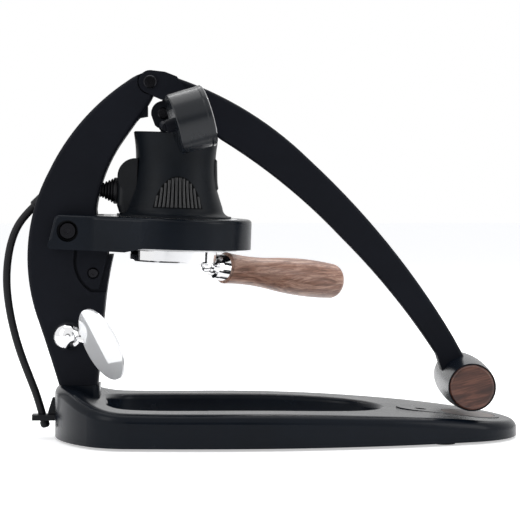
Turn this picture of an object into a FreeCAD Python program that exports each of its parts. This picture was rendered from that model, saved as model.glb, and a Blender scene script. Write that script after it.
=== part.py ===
"""Lever espresso maker: cast base, curved post, heated brew head, lever, portafilter.

Frame: X runs from the post (left) to the grip (right), Y away from the near side, Z up.
The origin lies on the floor under the middle of the base.  Lengths are in millimetres.
"""

import FreeCAD, Part
import math
import os
import Sketcher
from FreeCAD import Placement, Rotation, Vector

doc = FreeCAD.newDocument("espresso_maker")
sheet = doc.addObject("Spreadsheet::Sheet", "sizes")

# Driving dimensions
SIZES = {
    "base_half_length": 178.4, "base_half_width": 95.5, "base_floor_gap": 2, "base_widest": 50,
    "side_radius": 480, "rear_side_radius": 900, "tail_radius": 120, "corner_radius": 45,
    "heel_top": 41.5, "rim_top": 27, "nose_top": 13.2, "base_edge_round": 7, "opening_half_width": 61,
    "opening_rear": 138, "opening_front": 72, "opening_round": 4,
    "pedestal_front": 143.5, "pedestal_half_width": 17, "pedestal_round": 5,
    "foot_radius": 8, "foot_height": 4, "foot_recess": 2,
    "disc_centre": 141, "disc_level": 17.8, "disc_radius": 20.8, "disc_thick": 3, "disc_slope": 5.8,
    "boss_radius": 24.5, "boss_rise": 1.2, "island_radius": 18, "island_length": 38,
    "post_half_width": 16, "web_half_width": 9.6, "pivot_across": 104.4, "pivot_level": 273.7,
    "head_radius": 8.5, "post_round": 3, "post_foot": 41.7,
    "pin_across": 94.4, "pin_level": 249.9, "pivot_bolt": 4, "bush_radius": 6, "link_pin": 3,
    "cheek_half_width": 16.4, "slot_half_width": 10.1, "cheek_radius": 8.8, "beam_half_width": 9.5,
    "tongue_half_width": 6, "tongue_radius": 8, "beam_round": 2.6,
    "grip_across": 138, "grip_level": 43.2, "grip_half_length": 55, "grip_end_radius": 18,
    "grip_middle_radius": 19.8, "grip_cap_radius": 17, "grip_cap_depth": 9, "grip_cap_proud": 1.5,
    "brew_across": -86.5, "brew_level": 170, "head_tilt": 1.9,
    "ring_radius": 60, "ring_height": 23, "ring_bore": 49.5, "arm_height": 26.5, "arm_reach": 96,
    "arm_half_width": 27.5, "arm_gap": 16.3, "slot_end": 54, "yoke_round": 3,
    "flange_radius": 49.2, "lip_radius": 37.5, "lug_room": 43, "seat_radius": 34,
    "chamber_bore": 23.5, "chamber_radius": 26, "chamber_top": 60, "heater_radius": 27.6,
    "sleeve_top": 65.2, "sleeve_mouth": 32.9, "sleeve_skirt": 44.1, "sleeve_bore": 28,
    "notch_inner": 26.5, "notch_half_width": 11.5, "notch_floor": 58,
    "filter_radius": 33.8, "filter_bore": 30.6, "filter_bottom": 34,
    "lug_radius": 41.5, "turn_angle": 38, "lock_turn": 28,
    "handle_start": 51, "handle_length": 118, "handle_drop": 5.7,
    "handle_level": -39.2, "ferrule_radius": 10.4, "ferrule_length": 13, "neck_radius": 5.8,
    "piston_radius": 23.45, "cup_radius": 18, "cup_bore": 15,
    "ball_radius": 5.5, "ball_level": 8, "rod_radius": 4,
    "gauge_radius": 23, "gauge_length": 27, "gauge_wall": 1.4, "gauge_pitch": 15.8, "gauge_yaw": 8,
    "gauge_across": -73, "gauge_side": -55.5, "gauge_level": 244, "pipe_radius": 3.2, "pipe_level": 240.2,
    "mirror_radius": 28.7, "mirror_thick": 1.6, "dome_radius": 11.5, "dome_skirt": 3, "dome_height": 13.5,
    "nub_radius": 3.1, "nub_length": 6.6, "mirror_rod": 1.6,
    "cord_radius": 3, "relief_end": 5.9, "clip_level": 13.6, "clip_thick": 4.3, "grommet_radius": 4.4,
    "post_screw": 3, "post_screw_head": 5.2, "post_screw_seat": 14, "post_screw_top": 60, "lug_depth": 3.2,
}


class Size:
    """A number that remembers the sheet expression that it came from."""

    def __init__(self, number, text):
        self.number = float(number)
        self.text = text

    def __add__(self, other):
        other = as_size(other)
        return Size(self.number + other.number, f"({self.text} + {other.text})")

    def __sub__(self, other):
        other = as_size(other)
        return Size(self.number - other.number, f"({self.text} - {other.text})")

    def __mul__(self, factor):
        factor = as_size(factor)
        return Size(self.number * factor.number, f"({self.text} * {factor.text})")

    def __neg__(self):
        return Size(-self.number, f"(0 - {self.text})")

    def __radd__(self, other):
        return as_size(other) + self

    def __rsub__(self, other):
        return as_size(other) - self

    def __rmul__(self, factor):
        return self * factor


def as_size(value):
    return value if isinstance(value, Size) else Size(value, f"{value:.6g}")


def fill_sheet():
    """Write every driving dimension to the sheet and hand each back as a Size."""
    filled = {}
    for row, (name, number) in enumerate(SIZES.items(), start=1):
        sheet.set(f"A{row}", name)
        sheet.set(f"B{row}", str(number))
        sheet.setAlias(f"B{row}", name)
        filled[name] = Size(number, f"sizes.{name}")
    doc.recompute()
    return filled


S = fill_sheet()
NODES = []


def bind(thing, path, value):
    """Set a property and tie it to the sheet where the value came from there."""
    value = as_size(value)
    if "." not in path:
        setattr(thing, path, value.number)
    if "sizes." in value.text:
        thing.setExpression(path, value.text)


def keep(thing, label):
    thing.Label = label
    NODES.append(thing)
    return thing


def settled(thing):
    """Recompute and return the object, so that its shape can be read."""
    doc.recompute()
    return thing


# Sketches
def origin_plane(body, role):
    return next(feature for feature in body.Origin.OriginFeatures if feature.Role == role)


def pin_point(sketch, edge, end, x, y):
    """Fix one end of an edge at x, y, each tied to the sheet."""
    for kind, value in (("DistanceX", as_size(x)), ("DistanceY", as_size(y))):
        index = sketch.addConstraint(Sketcher.Constraint(kind, -1, 1, edge, end, value.number))
        if "sizes." in value.text:
            sketch.setExpression(f"Constraints[{index}]", value.text)


def draw_outline(sketch, corners):
    """Close a line through corners.  A third item in a corner is the middle of the arc that leaves it."""
    count = len(corners)
    for index in range(count):
        here, there = corners[index], corners[(index + 1) % count]
        ends = [(as_size(point[0]), as_size(point[1])) for point in (here, there)]
        start, stop = (Vector(x.number, y.number, 0) for x, y in ends)
        if len(here) > 2:
            edge = sketch.addGeometry(Part.Arc(start, Vector(*here[2], 0), stop), False)
            radius = sketch.Geometry[edge].Radius
        else:
            edge = sketch.addGeometry(Part.LineSegment(start, stop), False)
            radius = None
        for end in (1, 2):
            at = sketch.getPoint(edge, end)
            nearest = min((0, 1), key=lambda side: (at - (start, stop)[side]).Length)
            pin_point(sketch, edge, end, *ends[nearest])
        if radius:
            sketch.addConstraint(Sketcher.Constraint("Radius", edge, radius))


def draw_spline(sketch, points, closed=False):
    """A smooth curve through the points."""
    curve = Part.BSplineCurve()
    curve.interpolate([Vector(x, y, 0) for x, y in points], closed)
    sketch.addGeometry(curve, False)


def draw_circle(sketch, x, y, radius):
    x, y, radius = as_size(x), as_size(y), as_size(radius)
    circle = Part.Circle(Vector(x.number, y.number, 0), Vector(0, 0, 1), radius.number)
    edge = sketch.addGeometry(circle, False)
    pin_point(sketch, edge, 3, x, y)
    index = sketch.addConstraint(Sketcher.Constraint("Radius", edge, radius.number))
    if "sizes." in radius.text:
        sketch.setExpression(f"Constraints[{index}]", radius.text)


def new_sketch(body, role, outlines=(), circles=(), lift=0, turn=None):
    sketch = body.newObject("Sketcher::SketchObject", "outline")
    sketch.AttachmentSupport = [(origin_plane(body, role), "")]
    sketch.MapMode = "FlatFace"
    sketch.AttachmentOffset = Placement(Vector(0, 0, as_size(lift).number), turn or Rotation())
    bind(sketch, "AttachmentOffset.Base.z", lift)
    for corners in outlines:
        draw_outline(sketch, corners)
    for circle in circles:
        draw_circle(sketch, *circle)
    return sketch


# Features
def new_body(label):
    body = doc.addObject("PartDesign::Body", label)
    return keep(body, label)


def pad(body, sketch, length, both=False, back=False):
    feature = body.newObject("PartDesign::Pad", "pad")
    feature.Profile = sketch
    feature.SideType = "Symmetric" if both else "One side"
    feature.Reversed = back
    bind(feature, "Length", length)
    return settled(feature)


def pocket(body, sketch, depth=None, both=False, back=False):
    """Cut a sketch into the body, and stop if nothing was cut."""
    before = settled(body).Shape.Volume
    feature = body.newObject("PartDesign::Pocket", "pocket")
    feature.Profile = sketch
    feature.SideType = "Symmetric" if both else "One side"
    feature.Reversed = back
    if depth is None:
        feature.Type = "ThroughAll"
    else:
        bind(feature, "Length", depth)
    if not settled(feature).Shape.Volume < before - 0.01:
        raise RuntimeError(f"{body.Label}: a pocket cuts nothing")
    return feature


def fillet(body, radius, chosen):
    """Round the edges of the tip that the test accepts."""
    tip = settled(body).Tip
    names = [f"Edge{i + 1}" for i, edge in enumerate(tip.Shape.Edges) if chosen(edge)]
    feature = body.newObject("PartDesign::Fillet", "fillet")
    feature.Base = (tip, names)
    bind(feature, "Radius", radius)
    return settled(feature)


def upright(edge):
    box = edge.BoundBox
    return box.XLength + box.YLength < 0.01


def turned(label, profile, place=None):
    """A body of revolution: profile corners are (radius, height) about the body's own Z axis."""
    body = new_body(label)
    sketch = new_sketch(body, "XZ_Plane", [profile])
    feature = body.newObject("PartDesign::Revolution", "turned")
    feature.Profile = sketch
    feature.ReferenceAxis = (sketch, ["V_Axis"])
    feature.Angle = 360
    if place:
        body.Placement = place
    return settled(body)


def cylinder(label, radius, height, place):
    rod = doc.addObject("Part::Cylinder", label)
    bind(rod, "Radius", radius)
    bind(rod, "Height", height)
    rod.Placement = place
    rod.Label = label
    return rod


def ball(label, radius, place):
    sphere = doc.addObject("Part::Sphere", label)
    bind(sphere, "Radius", radius)
    sphere.Placement = place
    sphere.Label = label
    return sphere


def join(label, pieces):
    fuse = doc.addObject("Part::MultiFuse", label)
    fuse.Shapes = pieces
    fuse.Refine = True
    return settled(keep(fuse, label))


def group(label, pieces):
    """Several separate solids in one node."""
    compound = doc.addObject("Part::Compound", label)
    compound.Links = pieces
    return settled(keep(compound, label))


def cut(label, blank, tool):
    """Blank less tool, kept under the label in place of the blank."""
    if blank in NODES:
        NODES.remove(blank)
    result = doc.addObject("Part::Cut", label)
    result.Base = blank
    result.Tool = tool
    return settled(keep(result, label))


# Places
UP = Vector(0, 0, 1)
SIDEWAYS = Rotation(Vector(1, 0, 0), -90)
NEAR = Rotation(Vector(1, 0, 0), 90)
LEAN = Rotation(Vector(0, 1, 0), S["head_tilt"].number)
BREW = Vector(S["brew_across"].number, 0, S["brew_level"].number)
HEAD = Placement(BREW, LEAN)
PIVOT = Vector(-S["pivot_across"].number, 0, S["pivot_level"].number)
PIN = Vector(-S["pin_across"].number, 0, S["pin_level"].number)


def along(start, direction):
    """A place at start whose Z axis runs along direction."""
    return Placement(start, Rotation(UP, direction))


def across(x, z, side):
    """A place at x, z whose Z axis runs away from the near side, starting at Y = side."""
    return Placement(Vector(x, side, z), SIDEWAYS)


# Base
def unit(vector):
    return Vector(vector).normalize()


def arc_middle(centre, radius, start, stop):
    return centre + unit(unit(start - centre) + unit(stop - centre)) * radius


def circles_meet(first, first_radius, second, second_radius):
    """Where two circles cross, on the left of the line from the second centre to the first."""
    apart = second - first
    along_line = (first_radius ** 2 - second_radius ** 2 + apart.Length ** 2) / (2 * apart.Length)
    off_line = math.sqrt(first_radius ** 2 - along_line ** 2)
    run = unit(apart)
    return first + run * along_line + Vector(run.y, -run.x, 0) * off_line


def base_plan():
    """Seen from above: nose, long side, rear side, corner and tail, all arcs that meet smoothly."""
    length, width = S["base_half_length"].number, S["base_half_width"].number
    widest = Vector(-S["base_widest"].number, width, 0)
    side_radius, rear_radius = S["side_radius"].number, S["rear_side_radius"].number
    tail_radius, corner_radius = S["tail_radius"].number, S["corner_radius"].number
    reach, drop = length - widest.x, side_radius - width
    nose_radius = (side_radius ** 2 - reach ** 2 - drop ** 2) / (2 * (side_radius - reach))
    side, rear = widest - Vector(0, side_radius, 0), widest - Vector(0, rear_radius, 0)
    nose, tail = Vector(length - nose_radius, 0, 0), Vector(tail_radius - length, 0, 0)
    corner = circles_meet(tail, tail_radius - corner_radius, rear, rear_radius - corner_radius)
    ends = [side + unit(nose - side) * side_radius, widest, rear + unit(corner - rear) * rear_radius,
            tail + unit(corner - tail) * tail_radius]
    arcs = [(side, side_radius), (rear, rear_radius), (corner, corner_radius)]
    middles = [arc_middle(*arc, ends[i], ends[i + 1]) for i, arc in enumerate(arcs)]
    far = [(end.x, end.y, (middle.x, middle.y)) for end, middle in zip(ends, middles)]
    far.append((ends[3].x, ends[3].y, (-length, 0)))
    near = [(ends[3 - i].x, -ends[3 - i].y, (middles[2 - i].x, -middles[2 - i].y)) for i in range(3)]
    near.append((ends[0].x, -ends[0].y, (length, 0)))
    return far + near


def both_sides(half):
    """A closed round of points from the half at positive Y, whose ends lie on the middle line."""
    return half + [(x, -y) for x, y in half[-2:0:-1]]


def opening_plan():
    rear, front, width = (S[name].number for name in ("opening_rear", "opening_front", "opening_half_width"))
    return both_sides([(-rear, 0), (1 - rear, 34), (12 - rear, 54), (-104, width), (-58, width + 0.6),
                       (-12, width - 1.5), (front - 42, 51), (front - 14, 34), (front, 0)])


def base_top():
    """Side view of the top: level heel, hollow sweep down to the rim, long fall to the nose."""
    heel, rim, nose = (S[name].number for name in ("heel_top", "rim_top", "nose_top"))
    return [(-190, heel), (-176, heel), (-163, heel - 1.1), (-152, heel - 6.4), (-138, rim + 2.6),
            (-118, rim + 0.6), (-60, rim + 0.2), (0, rim - 0.4), (60, rim - 2.8), (120, nose + 6.8),
            (150, nose + 3.6), (190, nose - 0.8)]


def foot_places():
    return [(-132, 62), (-132, -62), (118, 48), (118, -48)]


def island_plan():
    """The raised patch round the wood disc, drawn from the disc's centre, narrower towards the opening."""
    wide, narrow, apart = S["boss_radius"].number, S["island_radius"].number, S["island_length"].number
    lean = (wide - narrow) / apart
    rise = math.sqrt(1 - lean ** 2)
    front, rear = (wide * lean, wide * rise), (narrow * lean - apart, narrow * rise)
    return [front, (*rear, (-apart - narrow, 0)), (rear[0], -rear[1]), (front[0], -front[1], (wide, 0))]


def build_base():
    gap = S["base_floor_gap"]
    body = new_body("base_casting")
    pad(body, new_sketch(body, "XY_Plane", [base_plan()], lift=gap), S["heel_top"] + 4)
    above = new_sketch(body, "XZ_Plane")
    draw_spline(above, base_top())
    (rear, level), (front, low) = base_top()[0], base_top()[-1]
    for start, stop in (((front, low), (front, 60)), ((front, 60), (rear, 60)), ((rear, 60), (rear, level))):
        above.addGeometry(Part.LineSegment(Vector(*start, 0), Vector(*stop, 0)), False)
    pocket(body, above, 300, both=True)

    def top_edge(edge):
        box = edge.BoundBox
        return box.ZMin > gap.number + 5 and box.XLength + box.YLength > 12

    fillet(body, S["base_edge_round"], top_edge)
    opening = new_sketch(body, "XY_Plane")
    draw_spline(opening, opening_plan(), closed=True)
    pocket(body, opening, back=True)
    room = S["opening_half_width"].number + 2

    def opening_edge(edge):
        box = edge.BoundBox
        return top_edge(edge) and box.YMax < room and box.YMin > -room and edge.Length > 300

    fillet(body, S["opening_round"], opening_edge)
    foot, wide = S["pedestal_front"], S["pedestal_half_width"]
    plan = [(-172, -wide), (-foot, -wide), (-foot, wide), (-172, wide)]
    pedestal = new_sketch(body, "XY_Plane", [plan], lift=gap)
    pad(body, pedestal, S["heel_top"] - gap)
    front = -foot.number
    fillet(body, S["pedestal_round"], lambda edge: upright(edge) and abs(edge.BoundBox.XMin - front) < 0.01)
    slope = Rotation(Vector(0, 1, 0), S["disc_slope"].number)
    centre = Vector(S["disc_centre"].number, 0, S["disc_level"].number)
    boss = new_sketch(body, "XY_Plane", [island_plan()])
    boss.AttachmentOffset = Placement(centre - slope.multVec(UP) * 4, slope)
    pad(body, boss, S["boss_rise"] + 3)
    recess = new_sketch(body, "XY_Plane", circles=[(0, 0, S["disc_radius"] + 0.2)])
    recess.AttachmentOffset = Placement(centre + slope.multVec(UP) * 0.2, slope)
    pocket(body, recess, S["disc_thick"])
    mark = new_sketch(body, "XY_Plane", circles=[(104, -3, 4.6)], lift=40)
    pocket(body, mark, 23)
    feet = new_sketch(body, "XY_Plane", circles=[(x, y, S["foot_radius"]) for x, y in foot_places()])
    pocket(body, feet, S["foot_recess"] + gap, back=True)
    for radius, depth in ((S["post_screw"], 60), (S["post_screw_head"], S["post_screw_seat"])):
        holes = new_sketch(body, "XY_Plane", circles=[(x, y, radius) for x, y in post_screw_places()])
        pocket(body, holes, depth, back=True)
    return body


def post_screw_places():
    return [(-160, 8.5), (-160, -8.5)]


def build_post_screws():
    """The two screws that come up through the base into the foot of the post."""
    seat, shank, head = S["post_screw_seat"], S["post_screw"], S["post_screw_head"]
    profile = [(0, seat - 4), (2.4, seat - 4), (2.4, seat - 6), (head - 0.4, seat - 6), (head, seat - 5.4),
               (head, seat), (shank, seat), (shank, S["post_screw_top"]), (0, S["post_screw_top"])]
    screws = []
    for number, (x, y) in enumerate(post_screw_places(), start=1):
        screws.append(turned(f"post_screw_{number}", profile, Placement(Vector(x, y, 0), Rotation())))
        NODES.remove(screws[-1])
    return group("post_screws", screws)


def build_feet():
    radius, height = S["foot_radius"], S["foot_height"]
    feet = [cylinder(f"foot_{number}", radius, height, Placement(Vector(x, y, 0), Rotation()))
            for number, (x, y) in enumerate(foot_places(), start=1)]
    return group("base_feet", feet)


def build_wood_disc():
    slope = Rotation(Vector(0, 1, 0), S["disc_slope"].number)
    seat = Vector(S["disc_centre"].number, 0, S["disc_level"].number) - slope.multVec(UP) * 2.8
    radius, thick = S["disc_radius"], S["disc_thick"]
    profile = [(0, 0), (radius, 0), (radius, thick - 0.6), (radius - 0.6, thick), (0, thick)]
    return turned("wood_disc", profile, Placement(seat, slope))


# Post
def post_side():
    """Side view of the post: bowed rear edge, stepped front edge, round head at the pivot."""
    head, foot = S["head_radius"].number, S["post_foot"].number
    top, right = (PIVOT.x, PIVOT.z + head), (PIVOT.x + head, PIVOT.z)
    shoulder = (PIVOT.x + 0.7071 * head, PIVOT.z + 0.7071 * head)
    return [(-174.5, foot), (-145.2, foot), (-139.3, 104, (-137.2, 120)), (-133, 141.5), (-141.5, 141.5),
            (-145.8, 176, (-140.6, 199)), (-125.5, 228.7), (-105.5, 257), (*right, shoulder),
            (*top, (-113.2, 279.4)), (-121.8, 274.4, (-157.5, 242.8)), (-181.4, 206.3, (-198.2, 147.5)),
            (-189.9, 90.3, (-182, 66))]


def web_front():
    """The part of the web that bulges forward, close behind the stem's ears."""
    face = PIN.x - 12
    return [(-118, 240), (-112.4, 246.2), (face, 247.3), (face, 254.5), (-106.8, 257.5), (-110, 258)]


def cheek_room():
    """The hollow in each flank of the post head where the lever's cheek turns."""
    radius = S["cheek_radius"] + 0.8
    left, level = -S["pivot_across"] - radius, S["pivot_level"]
    reach = S["cheek_radius"].number + 0.8
    low = (PIVOT.x - 0.7071 * reach, PIVOT.z - 0.7071 * reach)
    return [(left, 300), (left, level, low), (-S["pivot_across"], level - radius), (-102, 258), (-60, 258),
            (-60, 300)]


def build_post():
    body = new_body("post")
    pad(body, new_sketch(body, "XZ_Plane", [post_side()]), S["post_half_width"] * 2, both=True)
    web = S["web_half_width"]
    pocket(body, new_sketch(body, "XZ_Plane", [cheek_room()], lift=web), 20, back=True)
    pocket(body, new_sketch(body, "XZ_Plane", [cheek_room()], lift=-web), 20)
    pad(body, new_sketch(body, "XZ_Plane", [web_front()]), web * 2, both=True)
    half = S["post_half_width"].number

    def long_corner(edge):
        box = edge.BoundBox
        flat = box.YLength < 0.01 and abs(abs(box.YMin) - half) < 0.01
        return flat and edge.Length > 12 and box.ZMax < 250 and box.ZMin > S["post_foot"].number + 0.1

    fillet(body, S["post_round"], long_corner)
    holes = [(-S["pivot_across"], S["pivot_level"], S["bush_radius"])]
    pocket(body, new_sketch(body, "XZ_Plane", circles=holes), 60, both=True)
    bolts = [(x, z, 4) for x, y, z in yoke_bolt_places()]
    pocket(body, new_sketch(body, "XZ_Plane", circles=bolts), 60, both=True)
    screws = [(x, y, S["post_screw"]) for x, y in post_screw_places()]
    pocket(body, new_sketch(body, "XY_Plane", circles=screws), S["post_screw_top"], back=True)
    deep = S["post_half_width"] - S["lug_depth"]
    pocket(body, new_sketch(body, "XZ_Plane", [lug_side(2.4)], lift=deep), 20, back=True)
    pocket(body, new_sketch(body, "XZ_Plane", [lug_side(2.4)], lift=-deep), 20)
    x, z = LUG_SCREW
    pocket(body, new_sketch(body, "XZ_Plane", circles=[(x, z, 2)]), 60, both=True)
    front = along(KNEE, BORE_FRONT - KNEE)
    mouth = along(BORE_FRONT + RELIEF_RUN * 0.1, RELIEF_RUN * -1)
    seat = along(KNEE + EXIT * GROMMET_DEEP, EXIT)
    way = join("cable_way", [cylinder("bore_front", S["cord_radius"], 70, front),
                             cylinder("bore_mouth", S["relief_end"] + 1.2, 12, mouth),
                             ball("bore_knee", S["cord_radius"], Placement(KNEE, Rotation())),
                             cylinder("bore_rear", S["cord_radius"], 30, along(KNEE, EXIT)),
                             cylinder("grommet_bore", S["grommet_radius"], 40, seat)])
    NODES.remove(way)
    body.Label = "post_blank"
    return cut("post", body, way)


LUG_SCREW = (-148.2, 127.7)


def lug_side(margin):
    """Side view of the tongue that hangs from the yoke in a hollow of the post, grown by a margin."""
    top, low = 158 + margin, 115.4 - margin
    rear = [(-160.5 - margin, top), (-160.3 - margin, 142, (-158.6 - margin, 126)), (-149.5, low)]
    if margin:
        return rear + [(-135.8, low), (-129, 142), (-129, top)]
    return rear + [(-143.8, low), (-137, 142), (-137, 144.8), (-142.2, 144.8), (-142.2, top)]


def build_lugs():
    """The two tongues, near and far, and their screws."""
    deep, seat_depth = S["post_half_width"] - S["lug_depth"], 1.4
    x, z = LUG_SCREW
    profile = [(0, -9), (2, -9), (2, 0), (3.9, 0), (3.9, 1.1), (3.2, 1.6), (1.6, 1.6), (1.6, 0.6), (0, 0.6)]
    lugs, screws = [], []
    for number, side in enumerate((1, -1), start=1):
        body = new_body(f"support_lug_{number}")
        outline = new_sketch(body, "XZ_Plane", [lug_side(0)], lift=deep * side)
        pad(body, outline, S["lug_depth"], back=side < 0)
        seat = new_sketch(body, "XZ_Plane", circles=[(x, z, 4.6)], lift=(deep + seat_depth) * side)
        pocket(body, seat, 20, back=side > 0)
        pocket(body, new_sketch(body, "XZ_Plane", circles=[(x, z, 2)]), 60, both=True)
        lugs.append(body)
        place = Placement(Vector(x, -side * (deep.number + seat_depth), z), NEAR if side > 0 else SIDEWAYS)
        screws.append(turned(f"lug_screw_{number}", profile, place))
    for piece in lugs + screws:
        NODES.remove(piece)
    group("support_lugs", lugs)
    group("lug_screws", screws)


def yoke_bolt_places():
    return [(-167, 0, 160.3)]


# Lever
def beam_side():
    """Side view of the beam: two long arcs above and two below, from the fork to the grip."""
    return [(-84.2, 277, (-34, 254)), (17.6, 214.4, (73.2, 156)), (128.7, 77.9), (144, 50), (120.5, 50),
            (116.4, 63.1, (79.4, 113.7)), (42.3, 154.4, (-0.5, 194.2)), (-50.3, 229.6), (-84.2, 256)]


def cheek_side():
    radius = S["cheek_radius"].number
    left = (PIVOT.x - radius, PIVOT.z)
    low = (PIVOT.x - 0.26 * radius, PIVOT.z - 0.966 * radius)
    return [(PIVOT.x + 1, PIVOT.z + radius, left), (*low,), (-97.5, 261.2), (-78.8, 255.2, (-76.4, 263)),
            (-79.6, 271.5), (-84, 277.8), (-93, 281.3)]


def build_lever():
    body = new_body("lever_arm")
    pad(body, new_sketch(body, "XZ_Plane", [beam_side()]), S["beam_half_width"] * 2, both=True)
    half = S["beam_half_width"].number

    def beam_corner(edge):
        box = edge.BoundBox
        return box.YLength < 0.01 and abs(abs(box.YMin) - half) < 0.01 and edge.Length > 25

    fillet(body, S["beam_round"], beam_corner)
    pad(body, new_sketch(body, "XZ_Plane", [cheek_side()]), S["cheek_half_width"] * 2, both=True)
    slot = [(-125, 240), (-84.2, 240), (-84.2, 295), (-125, 295)]
    pocket(body, new_sketch(body, "XZ_Plane", [slot]), S["slot_half_width"] * 2, both=True)
    reach = S["tongue_radius"].number
    tongue = [(-83.5, 270), (PIN.x - 5, PIN.z + 6.3, (PIN.x - 0.8 * reach, PIN.z - 0.6 * reach)),
              (PIN.x + 5.5, PIN.z - 5.8), (-83.5, 246)]
    pad(body, new_sketch(body, "XZ_Plane", [tongue]), S["tongue_half_width"] * 2, both=True)
    holes = [(-S["pivot_across"], S["pivot_level"], S["pivot_bolt"]),
             (-S["pin_across"], S["pin_level"], S["link_pin"] + 0.05)]
    pocket(body, new_sketch(body, "XZ_Plane", circles=holes), 60, both=True)
    saddle = [(S["grip_across"], S["grip_level"], S["grip_middle_radius"])]
    pocket(body, new_sketch(body, "XZ_Plane", circles=saddle), 60, both=True)
    return body


def build_pivot_hardware():
    """Bolt and nut through the fork, and the two bushes that it turns in."""
    reach = S["cheek_half_width"].number
    x, z = PIVOT.x, PIVOT.z
    shank = cylinder("pivot_shank", S["pivot_bolt"], S["cheek_half_width"] * 2, across(x, z, -reach))
    head = turned("pivot_head", [(0, 0), (5, 0), (5, 2.2), (4.2, 3), (2.2, 3), (2.2, 1.2), (0, 1.2)],
                  Placement(Vector(x, -reach, z), NEAR))
    nut = cylinder("pivot_nut", 5, 3, across(x, z, reach))
    NODES.remove(head)
    join("lever_pivot_bolt", [shank, head, nut])
    bore, outer, length = S["pivot_bolt"] + 0.05, S["bush_radius"], S["web_half_width"] * 2
    turned("pivot_bush", [(bore, 0), (outer, 0), (outer, length), (bore, length)],
           across(x, z, -S["web_half_width"].number))


def build_grip():
    half, end, middle = S["grip_half_length"], S["grip_end_radius"], S["grip_middle_radius"]
    cap, depth = S["grip_cap_radius"], S["grip_cap_depth"]
    place = across(S["grip_across"].number, S["grip_level"].number, 0)
    swell = (S["grip_middle_radius"].number - 0.55, 0.55 * S["grip_half_length"].number)
    waist = (swell[0], -swell[1])
    turned("grip_barrel", [(end, half), (cap + 0.3, half), (cap + 0.3, half - depth), (0, half - depth),
                           (0, depth - half), (cap + 0.3, depth - half), (cap + 0.3, -half),
                           (end, -half, waist), (middle, 0, swell)], place)
    caps = []
    for number, side in enumerate((-1, 1), start=1):
        face = (half - depth) * side
        rise = (depth + S["grip_cap_proud"]) * side
        name = f"grip_cap_{number}"
        edge = face + rise - 2.5 * side
        round_middle = (S["grip_cap_radius"].number - 0.7, edge.number + 1.8 * side)
        profile = [(0, face), (cap, face), (cap, edge, round_middle), (cap - 2.5, face + rise),
                   (0, face + rise)]
        caps.append(turned(name, profile, place))
        NODES.remove(caps[-1])
    return group("grip_caps", caps)


# Brew head, in its own leaning frame
def build_yoke():
    gap, arm, reach, high = S["arm_gap"], S["arm_half_width"], S["arm_reach"], S["arm_height"]
    ring = S["ring_radius"].number
    body = new_body("yoke")
    plan = [(-24, 55, (ring, 0)), (-24, -55), (-60, -34), (-reach, -arm), (-reach, arm), (-60, 34)]
    pad(body, new_sketch(body, "XY_Plane", [plan]), high, back=True)
    rear = [(-104, -30), (-104, 4), (-84.5, 4), (-86, 0, (-89.3, -1.3)), (-90.9, -4.4),
            (-94.7, -21.6, (-94.4, -25.2)), (-91.5, -27), (-91.5, -30)]
    pocket(body, new_sketch(body, "XZ_Plane", [rear]), 200, both=True)
    fillet(body, 14, lambda edge: upright(edge) and abs(edge.BoundBox.YMin) > 30)
    under = [(-36, -30), (-36, -high), (-22, 0 - S["ring_height"]), (70, 0 - S["ring_height"]), (70, -30)]
    pocket(body, new_sketch(body, "XZ_Plane", [under]), 200, both=True)

    def top_rim(edge):
        box = edge.BoundBox
        return box.ZMin > -0.01 and (box.XLength > 0.01 or box.XMax > -80)

    fillet(body, S["yoke_round"], top_rim)
    pocket(body, new_sketch(body, "XY_Plane", circles=[(0, 0, S["ring_bore"])]))
    slot_end = -S["slot_end"]
    slot = [(-110, -gap), (slot_end, -gap), (slot_end, gap), (-110, gap)]
    pocket(body, new_sketch(body, "XY_Plane", [slot]))
    bolt = HEAD.inverse().multVec(Vector(*yoke_bolt_places()[0]))
    wall = S["arm_half_width"].number
    pocket(body, new_sketch(body, "XZ_Plane", circles=[(bolt.x, bolt.z, 4)]), 120, both=True)
    pocket(body, new_sketch(body, "XZ_Plane", circles=[(bolt.x, bolt.z, 8.2)], lift=wall - 6), 20, back=True)
    pocket(body, new_sketch(body, "XZ_Plane", circles=[(bolt.x, bolt.z, 8.2)], lift=6 - wall), 20)
    body.Placement = HEAD
    return body


def build_yoke_bolt():
    wall = S["arm_half_width"].number - 6
    x, _, z = yoke_bolt_places()[0]
    shank = cylinder("yoke_shank", 4, wall * 2, across(x, z, -wall))
    head = turned("yoke_head", [(0, 0), (6.6, 0), (6.6, 3.2), (5.8, 4), (2.6, 4), (2.6, 1.6), (0, 1.6)],
                  Placement(Vector(x, -wall, z), NEAR))
    nut = cylinder("yoke_nut", 6.6, 4, across(x, z, wall))
    NODES.remove(head)
    return join("yoke_bolt", [shank, head, nut])


def build_bayonet_ring():
    outer, room, lip, seat = S["ring_bore"], S["lug_room"], S["lip_radius"], S["seat_radius"]
    body = turned("bayonet_ring", [(outer, -3), (seat + 0.2, -3), (seat + 0.2, -8), (room, -8), (room, -21),
                                   (lip, -21), (lip, -24.6), (outer, -24.6)])
    for half_turn in (0, 180):
        wide = math.radians(16)
        mid = math.radians(S["turn_angle"].number - S["lock_turn"].number + half_turn)
        corners = [(r * math.cos(a), r * math.sin(a)) for r, a in
                   ((30, mid - wide), (46, mid - wide), (46, mid + wide), (30, mid + wide))]
        top_middle = (42.6 * math.cos(mid), 42.6 * math.sin(mid))
        gate = [(42.6 * math.cos(mid - wide), 42.6 * math.sin(mid - wide), top_middle),
                (42.6 * math.cos(mid + wide), 42.6 * math.sin(mid + wide)), corners[3], corners[0]]
        pocket(body, new_sketch(body, "XY_Plane", [gate], lift=-25), 4.4, back=True)
    body.Placement = HEAD
    return body


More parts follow.
